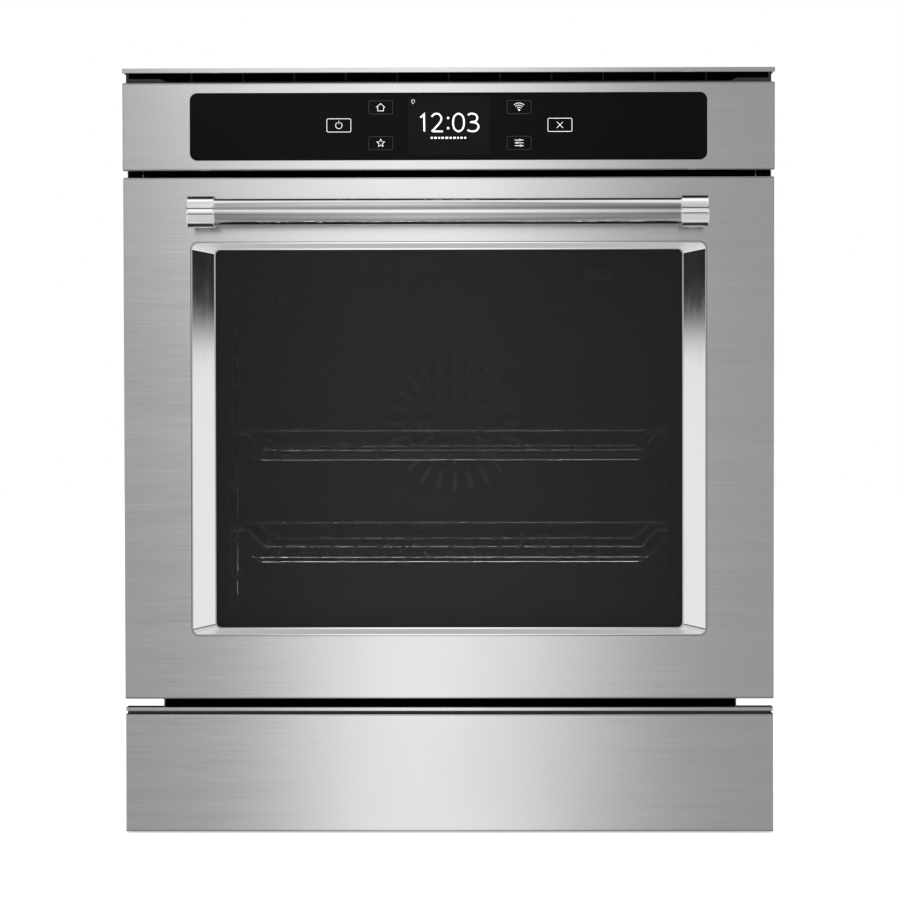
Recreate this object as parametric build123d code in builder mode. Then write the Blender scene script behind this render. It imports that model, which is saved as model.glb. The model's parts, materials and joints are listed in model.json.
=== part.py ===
"""Built-in wall oven with a drop-down door, as an assembly of separate parts. Millimetres, +Z up,
front toward -Y. The origin is the centre of the base's resting face."""
import os
from math import cos, radians, sin

from build123d import *

# driving dimensions
WIDTH = 603.0  # control panel, the widest front piece
BODY_WIDTH = 538.0  # box that slides into the cabinet
BODY_TOP = 690.0
BODY_BACK = 275.0
FACE_Y = -275.0  # cabinet face, where the body's box begins
FRONT_Y = -321.0  # outer face of the door and panels
SHEET = 1.0
SKIN = 1.2  # thickness of the visible front sheets
BEND = 1.7  # outer radius of their long bends
SIDE_BEND = 0.6
FRAME_Y = FACE_Y - 1.5  # front of the front frame
FRAME_HALF = 301.2  # half the front frame's width
DEFLECTOR_HALF = 298.5  # half the upper vent's width, inside the trim's ends

DOOR_WIDTH = 602.0
DOOR_BOTTOM = 124.0
DOOR_TOP = 607.5
DOOR_BACK = -283.0
HINGE_Y = -308.0
HINGE_Z = 134.0
HINGE_X = 252.0
HINGE_PIN_R = 4.0
RUNNING = 0.05  # radial clearance of pins and shafts

WINDOW_Z = 365.2
BEZEL_WIDTH = 477.0
BEZEL_HEIGHT = 364.5
BEZEL_BACK = -311.0
SIGHT_WIDTH = 433.0
SIGHT_HEIGHT = 351.0
GLASS_PACK = (480.0, 372.0)

HANDLE_Y = -363.0
HANDLE_Z = 574.0
HANDLE_R = 12.0
HANDLE_HALF = 212.5  # half the bar's bare length
CAP_R = 14.5
CAP_END = 238.0
SHOULDER = 0.8  # step between the bar and the cap
SHOULDER_R = 13.2

PANEL_BOTTOM = 613.5
PANEL_TOP = 695.0
PANEL_GLASS = (477.5, 61.5)
PANEL_GLASS_Z = 654.2
TRIM_TOP = 708.5
LOWER_TRIM_TOP = 110.0

CAVITY_WIDTH = 460.0
CAVITY_BOTTOM = 168.0
CAVITY_TOP = 560.0
CAVITY_BACK = 144.0
CAVITY_CORNER = 24.0
CAVITY_MID = (CAVITY_BOTTOM + CAVITY_TOP) / 2
CAVITY_HEIGHT = CAVITY_TOP - CAVITY_BOTTOM
FAN_Z = 372.0
SHAFT_R = 4.0
LAMP = (-165.0, 500.0)
SENSOR = (150.0, 528.0)
ELEMENT_R = 3.2
BROIL_Z = 540.0
BAKE_Z = 160.5

RACK_PITCH = 23.1
RACK_WIRES = 17
RACK_FRONT = -262.0
RACK_REAR = 108.0
RACK_DROP = 16.0  # the floor of a rack hangs this far below its sliding wires
RACK_SIDE_X = 220.0
RACK_LEVELS = (222.0, 270.0, 318.0, 366.0, 414.0, 462.0)
LOWER_LEVEL = RACK_LEVELS[1]
UPPER_LEVEL = RACK_LEVELS[3]

BLOWER_Y = 80.0
BLOWER_Z = 645.0
LATCH_Y = -255.0
LATCH_Z = 593.4
SWITCH_X = -120.0
SWITCH_Z = 598.6
CONDUIT = (210.0, 640.0)

os.makedirs("parts", exist_ok=True)


def save(builder, name):
    """Label a finished part and write its STEP file."""
    builder.part.label = name
    export_step(builder.part, f"parts/{name}.step")


def facing(y):
    """Plane at depth y, read in X and Z, whose extrusions run toward the front."""
    return Plane.XZ.offset(-y)


def block(x0, x1, y0, y1, z0, z1, mode=Mode.ADD):
    """A box between the given limits, joined to the part being built."""
    with Locations(((x0 + x1) / 2, (y0 + y1) / 2, (z0 + z1) / 2)):
        Box(x1 - x0, y1 - y0, z1 - z0, mode=mode)


def rod(start, direction, radius, length, mode=Mode.ADD):
    """A round bar from a start point along a direction."""
    with BuildSketch(Plane(origin=start, z_dir=direction)) as section:
        Circle(radius)
    extrude(section.sketch, amount=length, mode=mode)


def plate(y, thickness, width, height, z, corner, mode=Mode.ADD):
    """An upright plate with round corners that starts at depth y and grows toward the front."""
    with BuildSketch(facing(y)) as outline:
        with Locations((0, z)):
            RectangleRounded(width, height, corner)
    extrude(outline.sketch, amount=thickness, mode=mode)


def wire(points, corner, radius):
    """A round wire along straight runs joined by bends."""
    with BuildLine() as path:
        FilletPolyline(*points, radius=corner)
    with BuildSketch(Plane(origin=path.line @ 0, z_dir=path.line % 0)) as section:
        Circle(radius)
    sweep(section.sketch, path=path.line)


# ---------------------------------------------------------------- body sheets
FLANGE = 18.0
SILL_TOP = 127.0
half = BODY_WIDTH / 2

with BuildPart() as base_pan:
    block(-half + SHEET, half - SHEET, FACE_Y, BODY_BACK - SHEET, 0, SKIN)
    block(-half + SHEET, half - SHEET, FACE_Y, FACE_Y + SKIN, 0, SILL_TOP)
    block(-half + SHEET, half - SHEET, BODY_BACK - SHEET - SKIN, BODY_BACK - SHEET, 0, FLANGE)
    for side in (-1, 1):
        inner, outer = sorted((side * (half - SHEET - SKIN), side * (half - SHEET)))
        block(inner, outer, FACE_Y, BODY_BACK - SHEET, 0, FLANGE)
    with Locations((0, FACE_Y + 90, 0)):
        with GridLocations(60, 0, 7, 1):
            Box(40, 6, 3, mode=Mode.SUBTRACT)
save(base_pan, "base_pan")


def side_panel(side):
    """Side sheet with cooling slots and a return flange at the front; side is -1 left, +1 right."""
    with BuildPart() as panel:
        inner, outer = sorted((side * (half - SHEET), side * half))
        block(inner, outer, FACE_Y, BODY_BACK, 0, BODY_TOP)
        flange_inner, flange_outer = sorted((side * (half - 8), side * (half - SHEET)))
        block(flange_inner, flange_outer, FACE_Y, FACE_Y + SHEET, SILL_TOP + 35, BODY_TOP - 20)
        for level in (622, 640, 658):
            for depth in range(-120, 200, 50):
                block(inner - 1, outer + 1, depth, depth + 36, level, level + 5, mode=Mode.SUBTRACT)
    return panel


save(side_panel(-1), "side_panel_left")
save(side_panel(1), "side_panel_right")

SCREW_HOLE_R = 2.0
COVER_SCREWS = [(x, y) for x in (-240, 240) for y in (-150, 200)]
REAR_SCREWS = [(x, z) for x in (-250, 250) for z in (60, 250, 450, 600)]

with BuildPart() as top_cover:
    block(-half + SHEET, half - SHEET, FACE_Y, BODY_BACK - SHEET, BODY_TOP - SHEET, BODY_TOP)
    for side in (-1, 1):
        inner, outer = sorted((side * (half - 2 * SHEET), side * (half - SHEET)))
        block(inner, outer, FACE_Y + 2, BODY_BACK - 3, BODY_TOP - 15, BODY_TOP - SHEET)
    with Locations((0, 0, BODY_TOP - SHEET / 2)):
        with GridLocations(400, 340, 2, 2):
            with GridLocations(0, 14, 1, 5):
                Box(70, 4, 4, mode=Mode.SUBTRACT)
    for x, y in COVER_SCREWS:
        rod((x, y, BODY_TOP - 5), (0, 0, 1), SCREW_HOLE_R, 10, mode=Mode.SUBTRACT)
save(top_cover, "top_cover")

LOUVRE_ROWS = 12
LOUVRE_PITCH = 16.0

with BuildPart() as rear_panel:
    block(-half + SHEET, half - SHEET, BODY_BACK - SHEET, BODY_BACK, 0, BODY_TOP)
    for row in range(LOUVRE_ROWS):
        level = 360 + (row - (LOUVRE_ROWS - 1) / 2) * LOUVRE_PITCH
        for x in (-135, -45, 45, 135):
            block(x - 35, x + 35, BODY_BACK - 3, BODY_BACK + 1, level - 2.5, level + 2.5,
                  mode=Mode.SUBTRACT)
            block(x - 36, x + 36, BODY_BACK - 5, BODY_BACK - SHEET, level + 2.5, level + 3.5)
    for x, z in REAR_SCREWS:
        rod((x, BODY_BACK + 3, z), (0, -1, 0), SCREW_HOLE_R, 8, mode=Mode.SUBTRACT)
    rod((CONDUIT[0], BODY_BACK + 3, CONDUIT[1]), (0, -1, 0), 14.0, 8, mode=Mode.SUBTRACT)
save(rear_panel, "rear_panel")

with BuildPart() as front_frame:
    block(-FRAME_HALF, FRAME_HALF, FRAME_Y, FACE_Y, 121, TRIM_TOP - SKIN)
    block(-255.2, 255.2, FRAME_Y - 1, FACE_Y + 1, 142.8, 585.2, mode=Mode.SUBTRACT)
    for side in (-1, 1):
        slot_inner, slot_outer = sorted((side * (HINGE_X - 4), side * (HINGE_X + 4)))
        block(slot_inner, slot_outer, FRAME_Y - 1, FACE_Y + 1, 126.5, 141.5, mode=Mode.SUBTRACT)
        for level in (200, 560):
            rod((side * 285, FACE_Y + 1, level), (0, -1, 0), 2.5, 4, mode=Mode.SUBTRACT)
    block(-7, 17, FRAME_Y - 1, FACE_Y + 1, 590, 601, mode=Mode.SUBTRACT)
    rod((SWITCH_X, FACE_Y + 1, SWITCH_Z), (0, -1, 0), 3.6, 4, mode=Mode.SUBTRACT)
    block(-60, 60, FRAME_Y - 1, FACE_Y + 1, 625, 655, mode=Mode.SUBTRACT)
    with Locations((0, FACE_Y, 678)):
        with GridLocations(48, 0, 10, 1):
            Box(40, 8, 12, mode=Mode.SUBTRACT)
save(front_frame, "front_frame")

# ---------------------------------------------------------------- oven cavity
FLANGE_FRONT = FRAME_Y
SHELL_DEPTH = CAVITY_BACK - FLANGE_FRONT

with BuildPart() as oven_cavity:
    plate(CAVITY_BACK + SHEET, SHELL_DEPTH + SHEET, CAVITY_WIDTH + 2 * SHEET, CAVITY_HEIGHT + 2 * SHEET,
          CAVITY_MID, CAVITY_CORNER + SHEET)
    plate(FLANGE_FRONT + SHEET, SHEET, 510, 442, CAVITY_MID, 4)
    plate(CAVITY_BACK, SHELL_DEPTH + 5, CAVITY_WIDTH, CAVITY_HEIGHT, CAVITY_MID, CAVITY_CORNER,
          mode=Mode.SUBTRACT)
    rod((0, CAVITY_BACK + 3, FAN_Z), (0, -1, 0), 7, 6, mode=Mode.SUBTRACT)
    rod((LAMP[0], CAVITY_BACK + 3, LAMP[1]), (0, -1, 0), 20, 6, mode=Mode.SUBTRACT)
    rod((SENSOR[0], CAVITY_BACK + 3, SENSOR[1]), (0, -1, 0), 3.5, 6, mode=Mode.SUBTRACT)
    for side in (-1, 1):
        rod((side * 25, CAVITY_BACK + 3, BROIL_Z), (0, -1, 0), 4, 6, mode=Mode.SUBTRACT)
        rod((side * 16, CAVITY_BACK + 3, FAN_Z - 90.6), (0, -1, 0), 4, 6, mode=Mode.SUBTRACT)
save(oven_cavity, "oven_cavity")

with BuildPart() as cavity_gasket:
    plate(FRAME_Y, 6.2, 494, 426, CAVITY_MID, 30)
    plate(FRAME_Y + 1, 9, 476, 408, CAVITY_MID, 22, mode=Mode.SUBTRACT)
    fillet(cavity_gasket.edges().group_by(Axis.Y)[0], 2.4)
save(cavity_gasket, "cavity_gasket")

with BuildPart() as insulation_wrap:
    block(-262, 262, FACE_Y + 5, CAVITY_BACK + 1.5, 130, 591)
    plate(CAVITY_BACK + 5, SHELL_DEPTH + 10, CAVITY_WIDTH + 3, CAVITY_HEIGHT + 3, CAVITY_MID,
          CAVITY_CORNER, mode=Mode.SUBTRACT)
    block(-215, 215, FACE_Y, CAVITY_BACK + 5, 152, 200, mode=Mode.SUBTRACT)
    for side in (-1, 1):
        inner, outer = sorted((side * 238, side * 270))
        block(inner, outer, FACE_Y, -198, 120, 161, mode=Mode.SUBTRACT)
save(insulation_wrap, "insulation_wrap")

with BuildPart() as insulation_back:
    block(-262, 262, CAVITY_BACK + 2, 172, 130, 591)
    rod((0, 175, FAN_Z), (0, -1, 0), 14, 40, mode=Mode.SUBTRACT)
    rod((LAMP[0], 175, LAMP[1]), (0, -1, 0), 23, 40, mode=Mode.SUBTRACT)
    rod((SENSOR[0], 175, SENSOR[1]), (0, -1, 0), 5, 40, mode=Mode.SUBTRACT)
    for side in (-1, 1):
        rod((side * 25, 175, BROIL_Z), (0, -1, 0), 5, 40, mode=Mode.SUBTRACT)
        rod((side * 25, 175, BAKE_Z), (0, -1, 0), 5, 40, mode=Mode.SUBTRACT)
        rod((side * 16, 175, FAN_Z - 90.6), (0, -1, 0), 5, 40, mode=Mode.SUBTRACT)
save(insulation_back, "insulation_back")

# ---------------------------------------------------------------- fan and heat
COVER_FRONT = 116.0
COVER_SLOTS = 24

with BuildPart() as convection_fan_cover:
    with BuildSketch(facing(CAVITY_BACK)) as cover_base:
        with Locations((0, FAN_Z)):
            RectangleRounded(264, 244, 30)
    with BuildSketch(facing(COVER_FRONT)) as cover_face:
        with Locations((0, FAN_Z)):
            RectangleRounded(236, 216, 24)
    loft()
    with BuildSketch(facing(CAVITY_BACK)):
        with Locations((0, FAN_Z)):
            RectangleRounded(262, 242, 29)
    with BuildSketch(facing(COVER_FRONT + SHEET)):
        with Locations((0, FAN_Z)):
            RectangleRounded(234.5, 214.5, 23.5)
    loft(mode=Mode.SUBTRACT)
    with BuildSketch(facing(COVER_FRONT + 4)):
        with Locations((0, FAN_Z)):
            with PolarLocations(64, COVER_SLOTS):
                SlotOverall(28, 4.5)
            with PolarLocations(34, 12):
                SlotOverall(18, 4.5)
        for side in (-1, 1):
            with Locations((side * 103, FAN_Z)):
                with GridLocations(0, 24, 1, 6):
                    SlotOverall(14, 4.5, rotation=90)
    extrude(amount=8, mode=Mode.SUBTRACT)
save(convection_fan_cover, "convection_fan_cover")

RING_R = 92.0
RING_Y = 130.0

with BuildPart() as convection_element:
    with BuildLine(Plane.XZ.offset(-RING_Y)) as ring_path:
        CenterArc((0, FAN_Z), RING_R, -80, 340)
    with BuildSketch(Plane(origin=ring_path.line @ 0, z_dir=ring_path.line % 0)):
        Circle(ELEMENT_R)
    sweep(path=ring_path.line)
    for side in (-1, 1):
        foot = (side * RING_R * cos(radians(80)), RING_Y, FAN_Z - RING_R * sin(radians(80)))
        with Locations(foot):
            Sphere(ELEMENT_R)
        rod(foot, (0, 1, 0), ELEMENT_R, 50)
save(convection_element, "convection_element")

BLADES = 8

with BuildPart() as convection_fan:
    rod((0, 140, FAN_Z), (0, -1, 0), 70, 1.5)
    rod((0, 140, FAN_Z), (0, -1, 0), 12, 18)
    rod((0, 200, FAN_Z), (0, -1, 0), SHAFT_R, 81)
    with BuildSketch(facing(123)):
        with Locations((0, FAN_Z)):
            RegularPolygon(7, 6)
    extrude(amount=3)
    with BuildSketch(facing(139)):
        with Locations((0, FAN_Z)):
            with PolarLocations(44, BLADES):
                Rectangle(46, 1.2, rotation=18)
    extrude(amount=15)
save(convection_fan, "convection_fan")

with BuildPart() as convection_motor:
    rod((0, 176, FAN_Z), (0, 1, 0), 12, 6)
    rod((0, 180, FAN_Z), (0, 1, 0), 30, 52)
    block(-36, 36, 190, 214, FAN_Z - 36, FAN_Z + 36)
    block(-70, 70, 174, 176, FAN_Z - 15, FAN_Z + 15)
    for side in (-1, 1):
        inner, outer = sorted((side * 56, side * 70))
        block(inner, outer, 172, 174, FAN_Z - 15, FAN_Z + 15)
        inner, outer = sorted((side * 26, side * 32))
        block(inner, outer, 176, 191, FAN_Z - 10, FAN_Z + 10)
    rod((0, 170, FAN_Z), (0, 1, 0), SHAFT_R + RUNNING, 33, mode=Mode.SUBTRACT)
save(convection_motor, "convection_motor")


def element_path(level, front, rear, tail):
    """Half-and-half serpentine of a flat heating element whose two legs leave to the rear."""
    left = [(-25, tail, level), (-25, rear, level), (-185, rear, level), (-185, front, level),
            (-95, front, level), (-95, 20, level)]
    right = [(-x, y, z) for x, y, z in reversed(left)]
    return left + right


with BuildPart() as broil_element:
    wire(element_path(BROIL_Z, -190, 95, 180), 18, ELEMENT_R)
    for side in (-1, 1):
        for depth in (-120, 40):
            x = side * 185
            block(x - 2, x + 2, depth, depth + 10, BROIL_Z + 1, CAVITY_TOP)
save(broil_element, "broil_element")

with BuildPart() as bake_element:
    wire(element_path(BAKE_Z, -200, 110, 185), 18, ELEMENT_R)
save(bake_element, "bake_element")

with BuildPart() as lamp_lens:
    rod((LAMP[0], CAVITY_BACK, LAMP[1]), (0, -1, 0), 26, 8)
    fillet(lamp_lens.edges().group_by(Axis.Y)[0], 6)
save(lamp_lens, "lamp_lens")

with BuildPart() as lamp_holder:
    rod((LAMP[0], CAVITY_BACK + 0.5, LAMP[1]), (0, 1, 0), 19.5, 46)
    rod((LAMP[0], CAVITY_BACK, LAMP[1]), (0, 1, 0), 16, 34, mode=Mode.SUBTRACT)
    rod((LAMP[0], CAVITY_BACK + 34, LAMP[1]), (0, -1, 0), 6, 26)
    with Locations((LAMP[0], CAVITY_BACK + 8, LAMP[1])):
        Sphere(6)
save(lamp_holder, "lamp_holder")

with BuildPart() as temperature_sensor:
    rod((SENSOR[0], 176, SENSOR[1]), (0, -1, 0), 3, 90)
    with Locations((SENSOR[0], 86, SENSOR[1])):
        Sphere(3)
    block(SENSOR[0] - 15, SENSOR[0] + 15, CAVITY_BACK - 1.5, CAVITY_BACK, SENSOR[1] - 6, SENSOR[1] + 6)
save(temperature_sensor, "temperature_sensor")

# ---------------------------------------------------------------- racks
RAIL_R = 2.5
RACK_R = 3.2
THIN_R = 1.9


def rack_guide(side):
    """Wire ladder on a side wall; its rails carry the racks' sliding wires."""
    with BuildPart() as guide:
        for depth in (-225, -60, 106):
            rod((side * 226.5, depth, 196), (0, 0, 1), RAIL_R, 282)
            for level in (205, 470):
                rod((side * 226.5, depth, level), (side, 0, 0), 2, CAVITY_WIDTH / 2 - 226.5)
        for level in RACK_LEVELS:
            rod((side * 221.8, -240, level - RACK_R - 0.4 - RAIL_R), (0, 1, 0), RAIL_R, 362)
    return guide


save(rack_guide(-1), "rack_guide_left")
save(rack_guide(1), "rack_guide_right")


def cross_wire(depth, level, radius):
    """Wire across a rack: it dips from the sliding wires down to the rack's floor."""
    floor = level - RACK_DROP
    left = [(-RACK_SIDE_X, depth, level), (-203, depth, level), (-187, depth, floor)]
    wire(left + [(-x, y, z) for x, y, z in reversed(left)], 4.5, radius)


def oven_rack(level):
    """Wire rack: two sliding wires, a straight rear wire, dipped cross wires and the floor wires."""
    floor = level - RACK_DROP
    with BuildPart() as rack:
        for side in (-1, 1):
            x = side * RACK_SIDE_X
            rod((x, RACK_FRONT, level), (0, 1, 0), RACK_R, RACK_REAR - RACK_FRONT)
            for depth in (RACK_FRONT, RACK_REAR):
                with Locations((x, depth, level)):
                    Sphere(RACK_R)
        rod((-RACK_SIDE_X, RACK_REAR, level), (1, 0, 0), RACK_R, 2 * RACK_SIDE_X)
        for depth in (RACK_FRONT, -77, RACK_REAR - 8):
            cross_wire(depth, level, 2.2)
        bump = [(-184, RACK_FRONT, floor), (-178, RACK_FRONT, floor - 4.4)]
        wire(bump + [(-x, y, z) for x, y, z in reversed(bump)], 3, THIN_R)
        with BuildSketch(facing(RACK_REAR - 5)):
            with Locations((0, floor + 2.2 + THIN_R - 0.5)):
                with GridLocations(RACK_PITCH, 0, RACK_WIRES, 1):
                    Circle(THIN_R)
        extrude(amount=RACK_REAR - 5 - RACK_FRONT + 2)
    return rack


save(oven_rack(UPPER_LEVEL), "rack_upper")
save(oven_rack(LOWER_LEVEL), "rack_lower")

# ---------------------------------------------------------------- cooling
WHEEL_R = 27.0
WHEEL_HALF = 90.0
VANES = 20

with BuildPart() as cooling_blower_wheel:
    for x in (-WHEEL_HALF, -1, WHEEL_HALF - 2):
        rod((x, BLOWER_Y, BLOWER_Z), (1, 0, 0), WHEEL_R, 2)
    rod((-104, BLOWER_Y, BLOWER_Z), (1, 0, 0), 3, 226)
    with BuildSketch(Plane.YZ.offset(-WHEEL_HALF)):
        with Locations((BLOWER_Y, BLOWER_Z)):
            with PolarLocations(23, VANES):
                Rectangle(7, 0.9, rotation=30)
    extrude(amount=2 * WHEEL_HALF)
save(cooling_blower_wheel, "cooling_blower_wheel")

HOUSING_HALF = 101.2
WALL = 1.2

with BuildPart() as cooling_blower_housing:
    with BuildSketch(Plane.YZ.offset(-HOUSING_HALF)):
        with Locations((BLOWER_Y, BLOWER_Z)):
            Circle(38)
        with Locations((BLOWER_Y - 35, BLOWER_Z + 23)):
            Rectangle(70, 30)
    extrude(amount=2 * HOUSING_HALF)
    with BuildSketch(Plane.YZ.offset(-HOUSING_HALF + WALL)):
        with Locations((BLOWER_Y, BLOWER_Z)):
            Circle(38 - WALL)
        with Locations((BLOWER_Y - 37, BLOWER_Z + 23)):
            Rectangle(74, 30 - 2 * WALL)
    extrude(amount=2 * (HOUSING_HALF - WALL), mode=Mode.SUBTRACT)
    block(-80, 80, BLOWER_Y - 20, BLOWER_Y + 20, BLOWER_Z - 42, BLOWER_Z - 24, mode=Mode.SUBTRACT)
    rod((-110, BLOWER_Y, BLOWER_Z), (1, 0, 0), 3 + RUNNING, 220, mode=Mode.SUBTRACT)
    for side in (-1, 1):
        inner, outer = sorted((side * 96, side * HOUSING_HALF))
        block(inner, outer, BLOWER_Y - 25, BLOWER_Y + 25, 591, BLOWER_Z - 37)
save(cooling_blower_housing, "cooling_blower_housing")

with BuildPart() as cooling_motor:
    rod((HOUSING_HALF, BLOWER_Y, BLOWER_Z), (1, 0, 0), 20, 3)
    rod((HOUSING_HALF + 3, BLOWER_Y, BLOWER_Z), (1, 0, 0), 26, 34)
    block(108, 128, BLOWER_Y - 30, BLOWER_Y + 30, BLOWER_Z - 30, BLOWER_Z + 24)
    block(108, 128, BLOWER_Y - 34, BLOWER_Y + 34, 591, 616)
    rod((95, BLOWER_Y, BLOWER_Z), (1, 0, 0), 3 + RUNNING, 30, mode=Mode.SUBTRACT)
save(cooling_motor, "cooling_motor")

DUCT_REAR = BLOWER_Y - 70

with BuildPart() as cooling_duct:
    with BuildSketch(facing(DUCT_REAR)):
        with Locations((0, BLOWER_Z + 23)):
            Rectangle(2 * HOUSING_HALF, 30)
    with BuildSketch(facing(FACE_Y)):
        with Locations((0, 678)):
            Rectangle(490, 18)
    loft()
    with BuildSketch(facing(DUCT_REAR)):
        with Locations((0, BLOWER_Z + 23)):
            Rectangle(2 * (HOUSING_HALF - WALL), 30 - 2 * WALL)
    with BuildSketch(facing(FACE_Y)):
        with Locations((0, 678)):
            Rectangle(490 - 2 * WALL, 18 - 2 * WALL)
    loft(mode=Mode.SUBTRACT)
save(cooling_duct, "cooling_duct")

with BuildPart() as power_board:
    block(-232, -112, 130, 240, 591, 592.2)
    block(-228, -116, 136, 234, 602, 603.6)
    for x in (-222, -122):
        for y in (142, 228):
            rod((x, y, 592), (0, 0, 1), 3, 11)
    block(-222, -182, 190, 224, 603.6, 632)
    for spot in range(4):
        block(-176 + spot * 14, -166 + spot * 14, 150, 178, 603.6, 619)
    for spot in range(3):
        rod((-166 + spot * 18, 208, 603.6), (0, 0, 1), 7, 22)
save(power_board, "power_board")

with BuildPart() as terminal_block:
    block(110, 174, 240, BODY_BACK - SHEET, 600, 616)
    for spot in range(4):
        x = 112 + spot * 20
        block(x - 2, x, 240, 270, 616, 628)
    for spot in range(3):
        rod((121 + spot * 20, 254, 616), (0, 0, 1), 5, 5)
save(terminal_block, "terminal_block")

CONDUIT_BORE_R = 11.1

with BuildPart() as conduit_bushing:
    rod((CONDUIT[0], BODY_BACK, CONDUIT[1]), (0, 1, 0), 18, 3)
    rod((CONDUIT[0], BODY_BACK + 3, CONDUIT[1]), (0, -1, 0), 13.9, 23)
    rod((CONDUIT[0], BODY_BACK - SHEET, CONDUIT[1]), (0, -1, 0), 17, 4)
    rod((CONDUIT[0], BODY_BACK + 5, CONDUIT[1]), (0, -1, 0), CONDUIT_BORE_R, 40, mode=Mode.SUBTRACT)
save(conduit_bushing, "conduit_bushing")

# ---------------------------------------------------------------- control panel
with BuildPart() as control_fascia:
    block(-WIDTH / 2, WIDTH / 2, FRONT_Y, FRAME_Y, PANEL_BOTTOM, PANEL_TOP)
    fillet(control_fascia.edges().filter_by(Axis.X).group_by(Axis.Y)[0], BEND)
    fillet(control_fascia.edges().filter_by(Axis.Z).group_by(Axis.Y)[0], SIDE_BEND)
    block(-WIDTH / 2 + SKIN, WIDTH / 2 - SKIN, FRONT_Y + SKIN, FRAME_Y + 1, PANEL_BOTTOM + SKIN,
          PANEL_TOP - SKIN, mode=Mode.SUBTRACT)
    plate(FRONT_Y + 5, 10, PANEL_GLASS[0] + 1, PANEL_GLASS[1] + 1, PANEL_GLASS_Z, 7,
          mode=Mode.SUBTRACT)
    with Locations((0, -283.5, PANEL_TOP)):
        with GridLocations(48, 0, 10, 1):
            Box(40, 6, 6, mode=Mode.SUBTRACT)
save(control_fascia, "control_fascia")

GLASS_BACK = FRONT_Y + 4

with BuildPart() as control_glass:
    plate(GLASS_BACK, 4, PANEL_GLASS[0], PANEL_GLASS[1], PANEL_GLASS_Z, 6.5)
    chamfer(control_glass.faces().sort_by(Axis.Y)[0].edges(), 0.4)
save(control_glass, "control_glass")

with BuildPart() as control_housing:
    block(-244, 244, GLASS_BACK, -290, 619, 689)
    block(-242, 242, GLASS_BACK + 1.6, -289, 621, 687, mode=Mode.SUBTRACT)
    block(-38, 38, GLASS_BACK - 1, -300, 637, 673, mode=Mode.SUBTRACT)
    for side in (-1, 1):
        inner, outer = sorted((side * 244, side * 262))
        block(inner, outer, -292, -290, 640, 668)
        inner, outer = sorted((side * 258, side * 262))
        block(inner, outer, FRONT_Y + SKIN, -290, 640, 668)
save(control_housing, "control_housing")

BOARD_FRONT = -305.5

with BuildPart() as display_module:
    block(-37, 37, GLASS_BACK, BOARD_FRONT, 638, 672)
save(display_module, "display_module")

with BuildPart() as control_board:
    block(-150, 150, BOARD_FRONT, BOARD_FRONT + 1.6, 626, 682)
    for x in (-120, -70, 60, 110):
        block(x - 9, x + 9, BOARD_FRONT + 1.6, BOARD_FRONT + 4.6, 640, 658)
    block(-20, 20, BOARD_FRONT + 1.6, BOARD_FRONT + 11, 630, 640)
    for x in (-140, 140):
        rod((x, BOARD_FRONT, 654), (0, -1, 0), 3, BOARD_FRONT - GLASS_BACK - 1.6)
save(control_board, "control_board")

with BuildPart() as top_trim:
    block(-301.7, 301.7, FRONT_Y, FRAME_Y, PANEL_TOP + 9, TRIM_TOP)
    fillet(top_trim.edges().filter_by(Axis.Y).group_by(Axis.Z)[-1], 0.8)
    chamfer(top_trim.faces().sort_by(Axis.Y)[0].edges(), 0.4)
    block(-300.5, 300.5, FRONT_Y + SKIN, FRAME_Y + 1, PANEL_TOP, TRIM_TOP - SKIN, mode=Mode.SUBTRACT)
save(top_trim, "top_trim")

with BuildPart() as top_vent_deflector:
    block(-DEFLECTOR_HALF, DEFLECTOR_HALF, -318, FRAME_Y, PANEL_TOP, PANEL_TOP + 1)
    with Locations((0, -283.5, PANEL_TOP)):
        with GridLocations(48, 0, 10, 1):
            Box(40, 6, 6, mode=Mode.SUBTRACT)
    for side in (-1, 1):
        with BuildSketch(facing(-304)) as wedge:
            with BuildLine():
                Polyline((side * DEFLECTOR_HALF, PANEL_TOP + 0.5), (side * DEFLECTOR_HALF, PANEL_TOP + 3.6),
                         (side * 267, PANEL_TOP + 3.6), (side * 260, PANEL_TOP + 0.5), close=True)
            make_face()
        extrude(amount=14)
        inner, outer = sorted((side * 296, side * DEFLECTOR_HALF))
        block(inner, outer, -318, -314, PANEL_TOP + 1, TRIM_TOP - SKIN)
    for rib in range(11):
        x = (rib - 5) * 48
        block(x - 0.8, x + 0.8, -290, FRAME_Y, PANEL_TOP, TRIM_TOP - SKIN)
save(top_vent_deflector, "top_vent_deflector")

# ---------------------------------------------------------------- lower trim
LIP_BOTTOM = 112.5
LIP_TOP = 116.3

with BuildPart() as bottom_trim:
    block(-300.5, 300.5, FRONT_Y, FRONT_Y + 20, 0.5, LOWER_TRIM_TOP)
    fillet(bottom_trim.edges().filter_by(Axis.X).group_by(Axis.Y)[0], BEND)
    fillet(bottom_trim.edges().filter_by(Axis.Z).group_by(Axis.Y)[0], SIDE_BEND)
    block(-299.3, 299.3, FRONT_Y + SKIN, FRONT_Y + 25, 0.5 + SKIN, LOWER_TRIM_TOP - SKIN,
          mode=Mode.SUBTRACT)
    for x in (-150, 150):
        block(x - 18, x + 18, FRONT_Y + SKIN, FACE_Y, 60, 62)
        block(x - 18, x + 18, FACE_Y - 2, FACE_Y, 40, 60)
        block(x - 18, x + 18, FRONT_Y + SKIN, FRONT_Y + SKIN + 2, 40, 60)
save(bottom_trim, "bottom_trim")

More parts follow.
